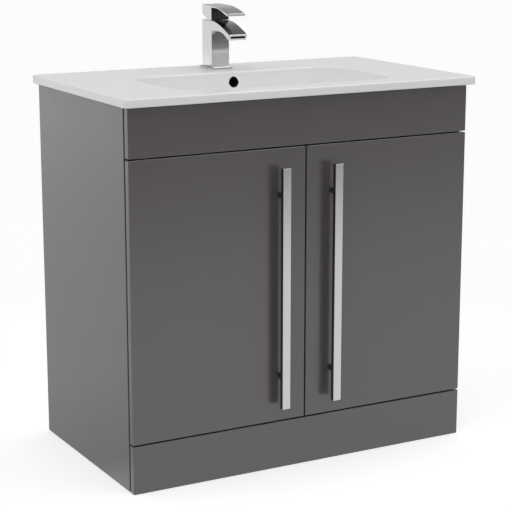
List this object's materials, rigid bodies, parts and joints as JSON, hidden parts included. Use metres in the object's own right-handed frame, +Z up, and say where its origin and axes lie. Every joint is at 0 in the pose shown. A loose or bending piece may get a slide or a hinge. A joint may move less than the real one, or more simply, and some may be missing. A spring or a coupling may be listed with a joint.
{
  "type": "bathroom vanity unit",
  "caption": "Freestanding gloss grey bathroom vanity cabinet with opening doors, bar handles, ceramic basin top and chrome lever tap.",
  "frame": {"origin": "centre of the bounding box on the floor", "axes": "+Z up, doors face -Y, +X to the right of a person facing the doors"},
  "size_m": [0.826, 0.4994, 0.949],
  "materials": {
    "lacquer": "gloss lacquer",
    "carcass_board": "matt",
    "ceramic": "glazed",
    "chrome": "polished",
    "satin_metal": "satin",
    "post_metal": "satin",
    "hinge_steel": "nickel plated",
    "zinc_steel": "zinc plated",
    "rubber": "matt",
    "plastic": "satin"
  },
  "bodies": {
    "cabinet": {"left_end_panel": "lacquer", "right_end_panel": "lacquer", "fascia_panel": "lacquer", "plinth_panel": "lacquer", "base_panel": "carcass_board", "plinth_rail": "carcass_board", "front_top_rail": "carcass_board", "back_top_rail": "carcass_board", "back_panel": "carcass_board", "shelf": "carcass_board", "basin": "ceramic", "tap_base_plate": "chrome", "tap_body": "chrome", "waste_body": "chrome", "waste_nut": "chrome", "left_lower_hinge_plate": "hinge_steel", "left_lower_hinge_arm": "hinge_steel", "left_upper_hinge_plate": "hinge_steel", "left_upper_hinge_arm": "hinge_steel", "right_lower_hinge_plate": "hinge_steel", "right_lower_hinge_arm": "hinge_steel", "right_upper_hinge_plate": "hinge_steel", "right_upper_hinge_arm": "hinge_steel", "left_wall_bracket": "zinc_steel", "right_wall_bracket": "zinc_steel", "tap_shank": "zinc_steel", "tap_nut": "zinc_steel", "left_front_shelf_pin": "zinc_steel", "left_back_shelf_pin": "zinc_steel", "right_front_shelf_pin": "zinc_steel", "right_back_shelf_pin": "zinc_steel", "tap_washer": "rubber", "waste_seal": "rubber", "tap_cartridge": "plastic"},
    "left_door": {"left_door": "lacquer", "left_handle_bar": "satin_metal", "left_lower_handle_post": "post_metal", "left_lower_handle_screw": "zinc_steel", "left_upper_handle_post": "post_metal", "left_upper_handle_screw": "zinc_steel", "left_lower_hinge_cup": "hinge_steel", "left_upper_hinge_cup": "hinge_steel"},
    "right_door": {"right_door": "lacquer", "right_handle_bar": "satin_metal", "right_lower_handle_post": "post_metal", "right_lower_handle_screw": "zinc_steel", "right_upper_handle_post": "post_metal", "right_upper_handle_screw": "zinc_steel", "right_lower_hinge_cup": "hinge_steel", "right_upper_hinge_cup": "hinge_steel"},
    "left_hinge_links": {"left_lower_hinge_link": "hinge_steel", "left_upper_hinge_link": "hinge_steel"},
    "right_hinge_links": {"right_lower_hinge_link": "hinge_steel", "right_upper_hinge_link": "hinge_steel"},
    "tap_swivel": {"tap_stem": "hinge_steel"},
    "tap_lever": {"tap_lever": "chrome"},
    "waste_plug": {"waste_plug": "chrome"}
  },
  "joints": [
    {"name": "left_door_hinge", "type": "hinge", "parent": "cabinet", "child": "left_door", "pos_m": [-0.393, -0.2083, 0.393], "axis": [0, 0, -1], "range_deg": [0, 105]},
    {"name": "right_door_hinge", "type": "hinge", "parent": "cabinet", "child": "right_door", "pos_m": [0.393, -0.2083, 0.393], "axis": [0, 0, 1], "range_deg": [0, 105]},
    {"name": "left_hinge_link_pivot", "type": "hinge", "parent": "cabinet", "child": "left_hinge_links", "pos_m": [-0.378, -0.1958, 0.393], "axis": [0, 0, -1], "range_deg": [0, 22]},
    {"name": "right_hinge_link_pivot", "type": "hinge", "parent": "cabinet", "child": "right_hinge_links", "pos_m": [0.378, -0.1958, 0.393], "axis": [0, 0, 1], "range_deg": [0, 22]},
    {"name": "tap_swivel", "type": "hinge", "parent": "cabinet", "child": "tap_swivel", "pos_m": [0, 0.1767, 0.922], "axis": [0, 0, 1], "range_deg": [-45, 45]},
    {"name": "tap_lever_lift", "type": "hinge", "parent": "tap_swivel", "child": "tap_lever", "pos_m": [0, 0.1767, 0.926], "axis": [-1, 0, 0], "range_deg": [0, 20]},
    {"name": "waste_plug_rise", "type": "slide", "parent": "cabinet", "child": "waste_plug", "axis": [0, 0, 1], "range_m": [0, 0.006]}
  ],
  "couplings": [
    {"joint": "left_hinge_link_pivot", "follows": "left_door_hinge", "ratio": 0.2},
    {"joint": "right_hinge_link_pivot", "follows": "right_door_hinge", "ratio": 0.2}
  ]
}
